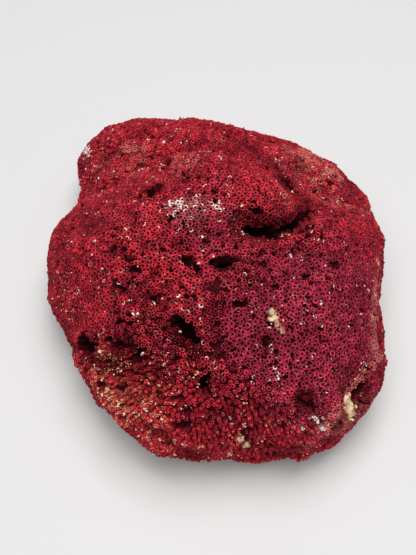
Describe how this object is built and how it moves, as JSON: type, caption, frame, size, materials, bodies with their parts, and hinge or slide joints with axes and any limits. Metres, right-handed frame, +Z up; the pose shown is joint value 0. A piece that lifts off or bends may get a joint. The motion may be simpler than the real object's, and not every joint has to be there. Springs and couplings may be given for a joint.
{
  "type": "organ-pipe coral specimen",
  "caption": "Lumpy dome of red organ-pipe coral made of thin upright tubes, with pits, clefts and a raised brow, cut flat underneath to rest on a shelf or table.",
  "frame": {"origin": "on the flat cut base, under the middle of the colony's plan", "axes": "+Z up from the base, -Y towards the front that the picture shows, +X to the right in the picture; the colony is longest along Y and lowest along Z"},
  "size_m": [0.1554, 0.1728, 0.0802],
  "materials": {
    "coral_red": "matte, porous limestone skeleton of red pipes with pale worn tips and grit"
  },
  "bodies": {
    "root": {"coral_colony": "coral_red"}
  },
  "joints": []
}
